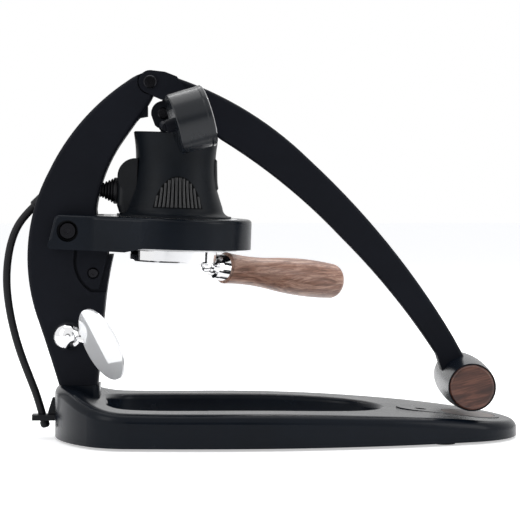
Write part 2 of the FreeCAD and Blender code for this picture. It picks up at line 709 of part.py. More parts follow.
def build_chamber():
    bore, wall, top, seat = S["chamber_bore"], S["chamber_radius"], S["chamber_top"], S["seat_radius"]
    flange = S["flange_radius"]
    profile = [(bore, -8), (seat, -8), (seat, -3), (flange, -3), (flange, 0), (wall, 0), (wall, top - 6),
               (wall + 0.8, top), (bore + 0.6, top), (bore, top - 2)]
    turned("brew_chamber", profile, HEAD)
    turned("heater_band", [(wall, 3), (S["heater_radius"], 3), (S["heater_radius"], 50), (wall, 50)], HEAD)
    turned("group_gasket", [(27, -11.7), (36, -11.7), (36, -8), (27, -8)], HEAD)
    screen = new_body("dispersion_screen")
    spacing, hole_radius = 8, 0.9
    holes = []
    for ring in (1, 2):
        for step in range(6 * ring):
            turn = math.radians(step * 60 / ring)
            holes.append((spacing * ring * math.cos(turn), spacing * ring * math.sin(turn), hole_radius))
    pad(screen, new_sketch(screen, "XY_Plane", circles=[(0, 0, 26.6)] + holes, lift=-9.2), 1.2)
    screen.Placement = HEAD


def sleeve_profile():
    top, mouth, skirt = S["sleeve_top"], S["sleeve_mouth"], S["sleeve_skirt"]
    bore = S["sleeve_bore"]
    return [(skirt, 0.2), (skirt, 1.6, (39.6, 3.2)), (37.2, 8), (34.9, 14.5), (32.8, 21),
            (31.6, 28, (30.7, 46)), (mouth - 0.5, top - 4), (mouth, top - 0.8), (mouth - 0.8, top), (bore, top),
            (bore, 0.2)]


def build_sleeve():
    sleeve = turned("chamber_sleeve", sleeve_profile())
    inner, half, floor = (S[name].number for name in ("notch_inner", "notch_half_width", "notch_floor"))
    notch = [(inner, floor), (inner + 20, floor), (inner + 20, floor + 20), (inner, floor + 20)]
    pocket(sleeve, new_sketch(sleeve, "XZ_Plane", [notch]), half * 2, both=True)
    sleeve.Placement = HEAD
    blank = new_body("housing_blank")
    side = [(-29, 2.4), (-42, 2.4), (-44, 8), (-43.8, 28, (-41.3, 39)), (-31.5, 44.5), (-29, 44.5)]
    pad(blank, new_sketch(blank, "XZ_Plane", [side]), 27, both=True)
    blank.Placement = HEAD
    fillet(blank, 5, lambda edge: edge.BoundBox.YLength < 0.01 and edge.BoundBox.XMax < -34.9)
    plug = turned("sleeve_solid", [(0, 0.2)] + sleeve_profile()[:9] + [(0, S["sleeve_top"])], HEAD)
    NODES.remove(plug)
    cut("connector_housing", blank, plug)
    return sleeve


# Power cable
BORE_FRONT = Vector(-143.2, 0, 190.9)
KNEE = Vector(-184.5, 0, 187.6)
EXIT = Vector(-0.72, 0, -0.694).normalize()
GROMMET_DEEP, GROMMET_OUT = 4, 13.5
RELIEF_START = HEAD.multVec(Vector(-44.1, 0, 19))
RELIEF_RUN = unit(BORE_FRONT - RELIEF_START)


def build_cable_way():
    """Strain relief, the cable through the post, and the grommet where it leaves."""
    length = (BORE_FRONT - RELIEF_START).Length
    turned("strain_relief", [(0, 0), (10.2, 0), (9.8, 3), (S["relief_end"], length), (0, length)],
           along(RELIEF_START, RELIEF_RUN))
    radius = S["cord_radius"]
    inner = BORE_FRONT - KNEE
    join("cable_inner", [cylinder("inner_front", radius, inner.Length - 0.6, along(KNEE, inner)),
                         ball("inner_knee", radius, Placement(KNEE, Rotation())),
                         cylinder("inner_rear", radius, GROMMET_OUT, along(KNEE, EXIT))])
    outer = S["grommet_radius"]
    turned("post_grommet", [(radius, GROMMET_DEEP), (outer, GROMMET_DEEP), (outer, GROMMET_OUT - 1),
                            (outer - 0.6, GROMMET_OUT), (radius, GROMMET_OUT)], along(KNEE, EXIT))


LEAD_START = KNEE + EXIT * GROMMET_OUT
LEAD_NEXT = LEAD_START + EXIT * 8
CORD_ROUTE = [(LEAD_START.x, LEAD_START.z), (LEAD_NEXT.x, LEAD_NEXT.z), (-207.2, 163), (-211.9, 151),
              (-214.6, 137), (-215.6, 121.5), (-214.4, 105.5), (-211.6, 89.5), (-207.6, 73.5), (-202.4, 58),
              (-196.8, 43.8), (-191.4, 29.4), (-186.9, 12.6)]


def cord_path(route):
    """Straight runs joined by tangent arcs, each as large as its two runs allow."""
    points = [Vector(x, 0, z) for x, z in route]
    edges, radii, last = [], [], points[0]
    for index in range(1, len(points) - 1):
        here = points[index]
        back, ahead = points[index - 1] - here, points[index + 1] - here
        run = min(back.Length, ahead.Length)
        turn = math.pi - back.getAngle(ahead)
        setback = 0.45 * run
        radii.append(setback / math.tan(turn / 2))
        back.normalize()
        ahead.normalize()
        enter, leave = here + back * setback, here + ahead * setback
        inward = back + ahead
        inward.normalize()
        sagitta = radii[-1] / math.cos(turn / 2) - radii[-1]
        edges.append(Part.LineSegment(last, enter).toShape())
        edges.append(Part.Arc(enter, here + inward * sagitta, leave).toShape())
        last = leave
    edges.append(Part.LineSegment(last, points[-1]).toShape())
    return Part.Wire(edges), radii


def build_cord():
    path, radii = cord_path(CORD_ROUTE)
    radius = S["cord_radius"].number
    start = path.Vertexes[0].Point
    section = Part.Wire([Part.Circle(start, path.Edges[0].tangentAt(0), radius).toShape()])
    solid = path.makePipeShell([section], True, False)
    cord = doc.addObject("Part::Feature", "power_cable")
    cord.Shape = solid
    keep(cord, "power_cable")
    print("cord length %.1f, least radius %.1f, volume ratio %.4f" %
          (path.Length, min(radii), solid.Volume / (math.pi * radius ** 2 * path.Length)))
    print("cord radii", [round(value) for value in radii])


def build_clip():
    """Bracket on the base's tail that the lead passes through, its screw, and the plug that ends the lead."""
    level, thick = S["clip_level"], S["clip_thick"]
    body = new_body("cable_clip")
    plan = [(-196, -6.5), (-178.5, -6.5), (-178.5, 6.5), (-196, 6.5)]
    pad(body, new_sketch(body, "XY_Plane", [plan], lift=level), thick)
    brace = [(-178.5, 14), (-178.5, 31), (-180.4, 31), (-184.5, 17.9), (-184.5, 14)]
    pad(body, new_sketch(body, "XZ_Plane", [brace]), 5, both=True)
    (rear, high), (front, low) = CORD_ROUTE[-2:]
    end, run = Vector(front, 0, low), Vector(front - rear, 0, low - high).normalize()
    hole = cylinder("clip_hole", S["cord_radius"] + 0.4, 40, along(end - run * 20, run))
    body.Label = "clip_blank"
    cut("cable_clip", body, hole)
    radius = S["cord_radius"] + 0.6
    profile = [(0, 0), (radius, 0), (radius, 2.6, (3.0, 4.2)), (1.6, 5), (0, 5)]
    turned("cable_connector", profile, along(end, run))


# Stem, piston and gauge
def stem_line():
    foot = HEAD.multVec(Vector(0, 0, S["ball_level"].number))
    return foot, PIN - foot


def build_stem():
    radius = 9.4
    wide, below = radius * math.cos(math.radians(10)), radius * math.sin(math.radians(10))
    body = new_body("stem_clevis")
    ear_low = PIN.z - 11
    ear = [(PIN.x + wide, PIN.z - below, (PIN.x, PIN.z + radius)), (PIN.x - wide, PIN.z - below),
           (PIN.x - 6.5, ear_low + 1.6), (PIN.x - 4.5, ear_low), (PIN.x + 4.5, ear_low),
           (PIN.x + 6.5, ear_low + 1.6)]
    pad(body, new_sketch(body, "XZ_Plane", [ear]), 19.6, both=True)
    slot = [(-120, 241.4), (-70, 241.4), (-70, 265), (-120, 265)]
    pocket(body, new_sketch(body, "XZ_Plane", [slot]), 12.6, both=True)
    pin_hole = [(-S["pin_across"], S["pin_level"], S["link_pin"])]
    pocket(body, new_sketch(body, "XZ_Plane", circles=pin_hole), 60, both=True)
    foot, run = stem_line()
    shaft = cylinder("stem_shaft", S["rod_radius"], run.Length - 9.5, along(foot, run))
    knob = ball("stem_ball", S["ball_radius"], Placement(foot, Rotation()))
    rod = join("stem_blank", [shaft, knob])
    NODES.remove(rod)
    cut("stem_rod", rod, body)
    pin_half = 9.8
    pin = cylinder("pin_shank", S["link_pin"], pin_half * 2, across(PIN.x, PIN.z, -pin_half))
    profile = [(0, 0), (4.4, 0), (4.4, 1.4), (3.6, 2), (1.8, 2), (1.8, 0.8), (0, 0.8)]
    heads = [turned(f"pin_head_{number}", profile, Placement(Vector(PIN.x, side * pin_half, PIN.z), turn))
             for number, side, turn in ((1, -1, NEAR), (2, 1, SIDEWAYS))]
    for head in heads:
        NODES.remove(head)
    join("stem_pin", [pin] + heads)


def gauge_place():
    pitch, yaw = math.radians(S["gauge_pitch"].number), math.radians(S["gauge_yaw"].number)
    facing = Vector(math.cos(pitch) * math.cos(yaw), math.cos(pitch) * math.sin(yaw), math.sin(pitch))
    centre = Vector(S["gauge_across"].number, S["gauge_side"].number, S["gauge_level"].number)
    return along(centre - facing * (S["gauge_length"].number / 2), facing), facing


def build_gauge():
    place, facing = gauge_place()
    radius, wall, length = S["gauge_radius"], S["gauge_wall"], S["gauge_length"]
    rear_mid = (S["gauge_radius"].number - 0.3, 0.3)
    turned("gauge_case", [(0, 0), (radius - 1, 0, rear_mid), (radius, 1), (radius, length - 4),
                          (radius - wall, length - 4), (radius - wall, 2.2), (0, 2.2)], place)
    turned("gauge_bezel", [(radius, length - 4), (radius + 0.35, length - 3), (radius + 0.35, length - 0.8),
                           (radius - 0.6, length), (radius - 3, length), (radius - 3, length - 1.4),
                           (radius - wall, length - 1.4), (radius - wall, length - 4)], place)
    turned("gauge_dial", [(0, length - 7.4), (radius - wall, length - 7.4), (radius - wall, length - 6.4),
                          (0, length - 6.4)], place)
    turned("gauge_lens", [(0, length - 2.9), (radius - wall, length - 2.9), (radius - wall, length - 1.4),
                          (0, length - 1.4)], place)
    needle = new_body("gauge_needle")
    blade = [(-1.4, -5), (1.4, -5), (1.6, 0), (0.35, 16.5), (-0.35, 16.5), (-1.6, 0)]
    pad(needle, new_sketch(needle, "XY_Plane", [blade], lift=length - 5.6), 0.7)
    pad(needle, new_sketch(needle, "XY_Plane", circles=[(0, 0, 2.4)], lift=length - 6), 1.6)
    needle.Placement = place.multiply(Placement(Vector(), Rotation(UP, 20)))
    back = place.Base
    pipe_across, level = PIN.x + 0.8, S["pipe_level"].number
    elbow, start = Vector(pipe_across, back.y + 9, level), Vector(pipe_across, -9.8, level)
    tube = S["pipe_radius"]
    arm = cylinder("pipe_arm", tube, (elbow - start).Length + 2, along(start, elbow - start))
    neck_from = back - facing * 6
    boss = cylinder("gauge_boss", tube + 1.8, 6, along(neck_from, facing))
    turn_at = elbow + (elbow - start).normalize() * 2
    last = neck_from - turn_at
    link = cylinder("pipe_link", tube, last.Length + 0.5, along(turn_at, last))
    bend = ball("pipe_bend", tube, Placement(turn_at, Rotation()))
    collar = cylinder("pipe_collar", tube + 1.4, 4, along(start, elbow - start))
    join("gauge_pipe", [arm, boss, link, bend, collar])


def build_piston():
    radius = S["piston_radius"]
    cup, bore = S["cup_radius"], S["cup_bore"]
    groove, groove_low, groove_high = 21.4, -5, -2.6
    turned("piston", [(0, -7), (radius, -7), (radius, groove_low), (groove, groove_low), (groove, groove_high),
                      (radius, groove_high), (radius, 0.4), (cup, 2.4), (cup, 17), (bore, 17), (bore, -0.8),
                      (0, -0.8)], HEAD)
    turned("piston_seal", [(groove, groove_low), (radius, groove_low), (radius, groove_high),
                           (groove, groove_high)], HEAD)


# Portafilter
def build_portafilter():
    outer, bore, low = S["filter_radius"], S["filter_bore"], S["filter_bottom"]
    spin = Placement(Vector(), Rotation(UP, S["turn_angle"].number))
    place = HEAD.multiply(spin)
    body = turned("portafilter_body", [(outer, -13), (bore, -13), (bore, 1.5 - low), (bore + 0.6, -low),
                                       (outer - 0.9, -low), (outer, 1.2 - low)])
    lug = S["lug_radius"].number
    for sign in (1, -1):
        reach = sign * lug
        near = sign * 33
        ear = [(near, -8), (reach - sign * 1.0, -8, (reach, 0)), (reach - sign * 1.0, 8), (near, 8)]
        pad(body, new_sketch(body, "XY_Plane", [ear], lift=-20.4), 3.4)
    body.Placement = place
    turned("filter_basket", [(outer, -12.9), (outer, -12.1), (27.9, -12.1), (27.7, -31.6), (0, -31.6),
                             (0, -32.4), (28.5, -32.4), (28.7, -12.9)], place)
    turned("basket_spring", [(28.9, -17), (bore, -17), (bore, -16.2), (28.9, -16.2)], place)
    drop = math.radians(S["handle_drop"].number)
    start = Vector(S["handle_start"].number, 0, S["handle_level"].number)
    axis = Vector(math.cos(drop), 0, -math.sin(drop))
    root = Vector(32, 0, -27)
    knee = Vector(33.5, 0, -37)
    deep, wide = S["ferrule_length"].number, S["ferrule_radius"]
    ferrule = start - axis * deep
    collar = [(0, 0), (7.4, 0), (9.4, 1.6), (9.9, 5), (wide, deep - 1), (wide, deep), (0, deep)]
    thick = S["neck_radius"]
    pieces = [cylinder("neck_root", thick, (knee - root).Length, along(root, knee - root)),
              ball("neck_knee", thick + 0.2, Placement(knee, Rotation())),
              cylinder("neck_run", thick, (ferrule - knee).Length + 1, along(knee, ferrule - knee)),
              turned("neck_ferrule", collar, along(ferrule, axis))]
    NODES.remove(pieces[-1])
    blank = join("neck_blank", pieces)
    NODES.remove(blank)
    hollow = turned("neck_room", [(0, -13), (outer, -13), (outer, -low), (0, -low)])
    NODES.remove(hollow)
    neck = cut("portafilter_neck", blank, hollow)
    neck.Placement = place
    length = S["handle_length"].number
    profile = [(0, 0), (11.6, 0), (12.3, 0.8, (11.25, 22)), (12.9, 50, (15, 86)),
               (14, length - 6.5, (12.1, S["handle_length"].number - 1.9)), (7.5, length), (0, length)]
    turned("portafilter_handle", profile, place.multiply(along(start, axis)))


# Mirror
DOME = Vector(-167.2, -S["post_half_width"].number - 0.05, 79.9)
NUB = Vector(-154.9, -31, 77.9)
FACING = Vector(0.80, 0.47, 0.37).normalize()
PLATE = Vector(-139.7, -55, 76.5)


def build_mirror():
    """Domed magnet on the post, a short stud from it, and the plate with the nub that grips its rim."""
    radius, skirt, height = S["dome_radius"], S["dome_skirt"].number, S["dome_height"].number
    centre = (height ** 2 - skirt ** 2 - radius.number ** 2) / (2 * (height - skirt))
    cap = height - centre
    middle = (cap * 0.7071, centre + cap * 0.7071)
    flat = 1.5
    crown = centre + math.sqrt(cap ** 2 - flat ** 2)
    magnet = turned("mirror_magnet", [(0, 0), (radius, 0), (radius, skirt, middle), (flat, crown), (0, crown)],
                    Placement(DOME, NEAR))
    hub = DOME - Vector(0, centre, 0)
    reach = NUB - hub
    run = unit(reach)
    half = S["nub_length"].number / 2
    stud = cylinder("stud_blank", S["mirror_rod"], reach.Length - half + 1.8, along(hub, run))
    cut("mirror_stud", stud, magnet)
    wide, thick = S["mirror_radius"], S["mirror_thick"]
    plate = turned("mirror_plate", [(0, 0), (wide, 0), (wide, thick), (0, thick)],
                   along(PLATE - FACING * thick.number, FACING))
    bore, outer, length = S["mirror_rod"] + 0.3, S["nub_radius"], S["nub_length"]
    nub = turned("nub_blank", [(bore, 0), (outer, 0), (outer, length), (0, length), (0, 2.2), (bore, 2.2)],
                 along(NUB - run * half, run))
    NODES.remove(nub)
    cut("mirror_socket", nub, plate)


def faults(thing):
    """What is wrong with a sub-part's shape, as a list of plain words."""
    shape = thing.Shape
    if shape.isNull():
        return ["no shape"]
    found = [] if shape.isValid() else ["not valid"]
    if len(shape.Solids) != 1 and thing.TypeId != "Part::Compound":
        found.append(f"{len(shape.Solids)} solids")
    return found


def check_and_write():
    """Refuse failed features and bad shapes, then write one STEP file for each sub-part."""
    doc.recompute()
    wrong = [f"{thing.Label}: {thing.State}" for thing in doc.Objects
             if "Invalid" in thing.State or "Error" in thing.State]
    wrong += [f"{thing.Label}: {faults(thing)}" for thing in NODES if faults(thing)]
    if wrong:
        raise RuntimeError("; ".join(wrong))
    os.makedirs("parts", exist_ok=True)
    for thing in NODES:
        thing.Shape.exportStep(f"parts/{thing.Label}.step")
    print(len(NODES), "sub-parts written")


build_base()
build_feet()
build_wood_disc()
build_post_screws()
build_post()
build_lugs()
build_lever()
build_pivot_hardware()
build_grip()
build_yoke()
build_yoke_bolt()
build_bayonet_ring()
build_chamber()
build_sleeve()
build_cable_way()
build_cord()
build_clip()
build_stem()
build_gauge()
build_piston()
build_portafilter()
build_mirror()
check_and_write()
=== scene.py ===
"""Looks for the lever espresso maker: lead, materials, small fittings, camera and lights."""

import math

import bmesh
import bpy
from mathutils import Matrix, Vector


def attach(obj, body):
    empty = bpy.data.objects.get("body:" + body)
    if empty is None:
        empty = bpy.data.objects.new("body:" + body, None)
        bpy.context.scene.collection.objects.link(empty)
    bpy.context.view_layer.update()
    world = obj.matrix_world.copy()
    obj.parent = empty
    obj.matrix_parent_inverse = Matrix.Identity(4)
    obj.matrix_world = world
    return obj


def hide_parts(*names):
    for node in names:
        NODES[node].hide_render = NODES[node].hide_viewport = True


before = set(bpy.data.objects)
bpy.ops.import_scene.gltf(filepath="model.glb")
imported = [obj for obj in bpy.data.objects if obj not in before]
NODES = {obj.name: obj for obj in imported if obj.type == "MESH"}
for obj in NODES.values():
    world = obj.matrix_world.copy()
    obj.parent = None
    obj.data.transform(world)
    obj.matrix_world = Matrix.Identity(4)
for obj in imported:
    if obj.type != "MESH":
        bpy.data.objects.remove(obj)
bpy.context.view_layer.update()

MM = 0.001

# The brew head's own frame, which leans a little
BREW = Vector((-86.5, 0, 170)) * MM
HEAD_LEAN = math.radians(1.9)
HEAD = Matrix.Translation(BREW) @ Matrix.Rotation(HEAD_LEAN, 4, "Y")
LOCKED_TURN = math.radians(38)


# Camera
def make_camera():
    distance, height, sideways = 1.8, 0.2149, math.radians(1.5)
    drop_share = 101.1 / 2334
    middle = Vector((-0.0202, 0, 0))
    data = bpy.data.cameras.new("camera")
    data.sensor_width = 36
    data.lens = 161.6
    camera = bpy.data.objects.new("camera", data)
    bpy.context.scene.collection.objects.link(camera)
    camera.location = middle + Vector((-distance * math.tan(sideways), -distance, height))
    target = middle + Vector((0, 0, height - distance * drop_share))
    camera.rotation_euler = (target - camera.location).to_track_quat("-Z", "Y").to_euler()
    bpy.context.scene.camera = camera


make_camera()


# Lead
CORD_ROUTE = [(-194.22, 178.23), (-199.98, 172.68), (-207.2, 163), (-211.9, 151), (-214.6, 137),
              (-215.6, 121.5), (-214.4, 105.5), (-211.6, 89.5), (-207.6, 73.5), (-202.4, 58),
              (-196.8, 43.8), (-191.4, 29.4), (-186.9, 12.6)]
CORD_DIAMETER = 0.006


def make_lead():
    data = bpy.data.curves.new("lead", "CURVE")
    data.dimensions = "3D"
    data.bevel_depth = 1
    data.bevel_resolution = 8
    data.resolution_u = 10
    data.use_fill_caps = True
    spline = data.splines.new("NURBS")
    spline.points.add(len(CORD_ROUTE) - 1)
    for point, (x, z) in zip(spline.points, CORD_ROUTE):
        point.co = (x * MM, 0, z * MM, 1)
        point.radius = CORD_DIAMETER / 2
    spline.order_u = 3
    spline.use_endpoint_u = True
    lead = bpy.data.objects.new("lead", data)
    bpy.context.scene.collection.objects.link(lead)
    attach(lead, "root")
    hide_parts("power_cable")
    x, z = CORD_ROUTE[0]
    return lead


lead = make_lead()


# Materials
def new_material(name, base, roughness, metallic=0.0, specular=0.5):
    material = bpy.data.materials.new(name)
    material.use_nodes = True
    shader = material.node_tree.nodes["Principled BSDF"]
    shader.inputs["Base Color"].default_value = (*base, 1)
    shader.inputs["Roughness"].default_value = roughness
    shader.inputs["Metallic"].default_value = metallic
    shader.inputs["Specular IOR Level"].default_value = specular
    return material


def add(material, kind, **settings):
    """A new node; names that are its inputs are set there, and the rest on the node itself."""
    node = material.node_tree.nodes.new(kind)
    for key, value in settings.items():
        label = key.replace("_", " ")
        if label in node.inputs:
            node.inputs[label].default_value = value
        else:
            setattr(node, key, value)
    return node


def link(material, start, output, end, entry):
    material.node_tree.links.new(start.outputs[output], end.inputs[entry])


def place_texture(material, stretch=(1, 1, 1), turn=(0, 0, 0)):
    """Object coordinates, turned and then stretched."""
    where = add(material, "ShaderNodeTexCoord")
    turned = add(material, "ShaderNodeMapping", Rotation=turn)
    scaled = add(material, "ShaderNodeMapping", Scale=stretch)
    link(material, where, "Object", turned, "Vector")
    link(material, turned, "Vector", scaled, "Vector")
    return scaled


def noise(material, place, scale, detail=3.0, rough=0.5, distortion=0.0):
    texture = add(material, "ShaderNodeTexNoise", Scale=scale, Detail=detail, Roughness=rough,
                  Distortion=distortion)
    link(material, place, "Vector", texture, "Vector")
    return texture


def ramp(material, source, output, stops):
    """A colour ramp over (position, colour) stops."""
    node = add(material, "ShaderNodeValToRGB")
    elements = node.color_ramp.elements
    while len(elements) < len(stops):
        elements.new(0.5)
    for element, (position, colour) in zip(elements, stops):
        element.position = position
        element.color = (*colour, 1)
    link(material, source, output, node, "Fac")
    return node


def vary(material, source, output, entry, low, high):
    """Roughness or another number that changes over the surface between low and high."""
    spread = add(material, "ShaderNodeMapRange")
    spread.inputs["To Min"].default_value = low
    spread.inputs["To Max"].default_value = high
    link(material, source, output, spread, "Value")
    link(material, spread, "Result", shader_of(material), entry)


def shader_of(material):
    return material.node_tree.nodes["Principled BSDF"]


def roughen(material, sources, depth):
    """Bump from one or more (node, output, strength) heights."""
    previous = None
    for source, output, strength in sources:
        bump = add(material, "ShaderNodeBump", Strength=strength, Distance=depth)
        link(material, source, output, bump, "Height")
        if previous:
            link(material, previous, "Normal", bump, "Normal")
        previous = bump
    link(material, previous, "Normal", shader_of(material), "Normal")


def powder_coat(name, base, roughness, specular):
    """Baked powder: a fine even grain, faint orange peel and slight changes of sheen."""
    material = new_material(name, base, roughness, specular=specular)
    place = place_texture(material)
    grain = noise(material, place, 2600, detail=2)
    peel = noise(material, place, 420, detail=2)
    patches = noise(material, place, 26, detail=4)
    light = tuple(min(1, channel * 1.35) for channel in base)
    tone = ramp(material, patches, "Fac", [(0.35, base), (0.7, light)])
    link(material, tone, "Color", shader_of(material), "Base Color")
    vary(material, patches, "Fac", "Roughness", roughness - 0.05, roughness + 0.06)
    roughen(material, [(grain, "Fac", 0.35), (peel, "Fac", 0.25)], 0.00006)
    return material


def rubber(name, base, roughness, specular):
    """Soft moulded rubber or plastic with dusty patches."""
    material = new_material(name, base, roughness, specular=specular)
    place = place_texture(material)
    skin = noise(material, place, 1500, detail=3)
    dust = noise(material, place, 60, detail=5, rough=0.65)
    light = tuple(channel * 1.5 + 0.001 for channel in base)
    tone = ramp(material, dust, "Fac", [(0.4, base), (0.8, light)])
    link(material, tone, "Color", shader_of(material), "Base Color")
    vary(material, dust, "Fac", "Roughness", roughness - 0.06, roughness + 0.05)
    roughen(material, [(skin, "Fac", 0.3)], 0.00005)
    return material


def polished(name, base, roughness, metallic=1.0):
    """Polished metal with a very faint haze of wiping marks."""
    material = new_material(name, base, roughness, metallic=metallic)
    wiped = noise(material, place_texture(material, stretch=(1, 1, 6)), 90, detail=4)
    vary(material, wiped, "Fac", "Roughness", roughness * 0.5, roughness * 1.6)
    return material


def brushed(name, base, roughness, turn=(0, 0, 0)):
    """Steel with fine lines round its own upright axis."""
    material = new_material(name, base, roughness, metallic=1)
    lines = noise(material, place_texture(material, stretch=(12, 12, 900), turn=turn), 3, detail=4)
    vary(material, lines, "Fac", "Roughness", roughness - 0.08, roughness + 0.12)
    roughen(material, [(lines, "Fac", 0.12)], 0.00004)
    return material


def walnut(name, turn, dark, middle, light):
    """Oiled walnut: streaks along X after the turn, wavy growth figure, short dark pores."""
    material = new_material(name, middle, 0.36, specular=0.4)
    place = place_texture(material, stretch=(9, 60, 60), turn=turn)
    figure = noise(material, place, 2.2, detail=6, rough=0.62, distortion=1.6)
    streaks = noise(material, place_texture(material, stretch=(14, 260, 260), turn=turn), 2.6, detail=4)
    pores = noise(material, place_texture(material, stretch=(90, 1500, 1500), turn=turn), 1.4, detail=2)
    tone = ramp(material, figure, "Fac", [(0.3, dark), (0.47, middle), (0.6, light), (0.75, middle)])
    shade = ramp(material, streaks, "Fac", [(0.32, (0.42, 0.36, 0.34)), (0.55, (1, 1, 1))])
    spots = ramp(material, pores, "Fac", [(0.3, (0.45, 0.4, 0.38)), (0.42, (1, 1, 1))])
    mixed = tone
    for darker in (shade, spots):
        both = add(material, "ShaderNodeMix", data_type="RGBA", blend_type="MULTIPLY")
        both.inputs["Factor"].default_value = 0.85
        material.node_tree.links.new(mixed.outputs[0 if mixed is tone else 2], both.inputs[6])
        material.node_tree.links.new(darker.outputs[0], both.inputs[7])
        mixed = both
    material.node_tree.links.new(mixed.outputs[2], shader_of(material).inputs["Base Color"])
    vary(material, streaks, "Fac", "Roughness", 0.3, 0.46)
    roughen(material, [(pores, "Fac", 0.25), (streaks, "Fac", 0.1)], 0.00008)
    shader_of(material).inputs["Coat Weight"].default_value = 0.15
    shader_of(material).inputs["Coat Roughness"].default_value = 0.3
    return material


def glass(name):
    material = new_material(name, (1, 1, 1), 0.02)
    shader_of(material).inputs["Transmission Weight"].default_value = 1
    shader_of(material).inputs["IOR"].default_value = 1.45
    smear = noise(material, place_texture(material), 40, detail=4)
    vary(material, smear, "Fac", "Roughness", 0.0, 0.05)
    return material


def enamel(name, base, roughness):
    material = new_material(name, base, roughness)
    fine = noise(material, place_texture(material), 700, detail=2)
    vary(material, fine, "Fac", "Roughness", roughness - 0.05, roughness + 0.1)
    return material


COAT = powder_coat("powder_coat", (0.003, 0.0049, 0.0084), 0.25, 0.12)
GAUGE_COAT = powder_coat("gauge_coat", (0.0035, 0.0052, 0.008), 0.26, 0.4)
ARM_COAT = powder_coat("powder_coat_matt", (0.0042, 0.005, 0.008), 0.56, 0.1)
SLEEVE = rubber("sleeve_rubber", (0.0028, 0.0042, 0.0064), 0.46, 0.12)
MOULDED = rubber("moulded_black", (0.0042, 0.005, 0.0065), 0.42, 0.2)
SOFT_BLACK = rubber("soft_black", (0.0055, 0.0055, 0.007), 0.48, 0.22)
# Near-black painted shade standing in for the dark of the grip's grooves and the basket's holes
GROOVE_SHADE = rubber("painted_groove_shade", (0.001, 0.0012, 0.0016), 0.7, 0.06)
RIB = rubber("rib_black", (0.004, 0.0048, 0.0062), 0.3, 0.45)
CHROME = polished("chrome", (0.86, 0.86, 0.87), 0.06)
MIRROR = polished("mirror_silver", (0.93, 0.935, 0.945), 0.02, metallic=0.35)
STEEL = brushed("brushed_steel", (0.6, 0.6, 0.61), 0.28)
SCREW = brushed("screw_black", (0.022, 0.022, 0.025), 0.24, turn=(math.pi / 2, 0, 0))
HANDLE_WOOD = walnut("walnut_handle", (0, 0, -LOCKED_TURN), (0.14, 0.06, 0.037), (0.33, 0.165, 0.11),
                     (0.56, 0.35, 0.265))
CAP_WOOD = walnut("walnut_cap", (0, math.radians(14), 0), (0.026, 0.009, 0.006), (0.07, 0.025, 0.016),
                  (0.15, 0.06, 0.038))
GLASS = glass("clear_glass")
DIAL = enamel("dial_white", (0.82, 0.82, 0.8), 0.5)
INK = enamel("dial_ink", (0.01, 0.01, 0.012), 0.5)
RED = enamel("needle_red", (0.5, 0.03, 0.02), 0.35)

FINISHES = {
    "base_casting": COAT, "post": ARM_COAT, "support_lugs": ARM_COAT, "yoke": COAT, "lever_arm": ARM_COAT,
    "grip_barrel": COAT, "grip_caps": CAP_WOOD, "wood_disc": CAP_WOOD, "base_feet": SOFT_BLACK,
    "post_screws": SCREW, "lug_screws": SCREW, "yoke_bolt": SCREW, "lever_pivot_bolt": SCREW,
    "stem_pin": SCREW, "pivot_bush": STEEL, "bayonet_ring": STEEL, "brew_chamber": STEEL,
    "heater_band": MOULDED, "group_gasket": SOFT_BLACK, "dispersion_screen": STEEL,
    "chamber_sleeve": SLEEVE, "connector_housing": MOULDED, "strain_relief": SOFT_BLACK,
    "cable_inner": SOFT_BLACK, "post_grommet": SOFT_BLACK, "cable_clip": MOULDED,
    "cable_connector": MOULDED, "mirror_magnet": CHROME, "mirror_stud": CHROME, "mirror_socket": CHROME,
    "mirror_plate": MIRROR, "stem_clevis": ARM_COAT, "stem_rod": STEEL, "gauge_case": GAUGE_COAT,
    "gauge_bezel": GAUGE_COAT, "gauge_dial": DIAL, "gauge_lens": GLASS, "gauge_needle": RED,
    "gauge_pipe": ARM_COAT, "piston": STEEL, "piston_seal": SOFT_BLACK, "portafilter_body": CHROME,
    "filter_basket": STEEL, "basket_spring": STEEL, "portafilter_neck": CHROME,
    "portafilter_handle": HANDLE_WOOD,
}


def dress_nodes():
    for name, material in FINISHES.items():
        mesh = NODES[name].data
        mesh.materials.clear()
        mesh.materials.append(material)
    lead.data.materials.append(SOFT_BLACK)


dress_nodes()


# Mesh helpers
def finish_mesh(name, bm, material, body, smooth=40):
    """Turn the bmesh into a piece that rides on a body."""
    bmesh.ops.remove_doubles(bm, verts=bm.verts, dist=1e-7)
    bmesh.ops.recalc_face_normals(bm, faces=bm.faces)
    mesh = bpy.data.meshes.new(name)
    bm.to_mesh(mesh)
    bm.free()
    mesh.shade_smooth()
    mesh.set_sharp_from_angle(angle=math.radians(smooth))
    mesh.materials.append(material)
    piece = bpy.data.objects.new(name, mesh)
    bpy.context.scene.collection.objects.link(piece)
    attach(piece, body)
    return piece


def around(angle, radius, level):
    """A point in millimetres, at an angle and a radius round the Z axis."""
    return Vector((radius * math.cos(angle), radius * math.sin(angle), level))


def lathe(bm, profile, place, steps=64):
    """Turn (radius, height) pairs in millimetres round the place's Z axis."""
    rings = []
    for radius, height in profile:
        if radius < 1e-6:
            rings.append([bm.verts.new(place @ Vector((0, 0, height * MM)))])
            continue
        ring = []
        for step in range(steps):
            angle = 2 * math.pi * step / steps
            ring.append(bm.verts.new(place @ (around(angle, radius, height) * MM)))
        rings.append(ring)
    for low, high in zip(rings, rings[1:]):
        for step in range(steps):
            after = (step + 1) % steps
            corners = [low[step % len(low)], low[after % len(low)],
                       high[after % len(high)], high[step % len(high)]]
            unique = list(dict.fromkeys(corners))
            if len(unique) > 2:
                bm.faces.new(unique)


def facing(point, direction):
    """A frame at the point, in millimetres, whose Z axis is the direction."""
    turn = Vector(direction).to_track_quat("Z", "X").to_matrix().to_4x4()
    return Matrix.Translation(Vector(point) * MM) @ turn


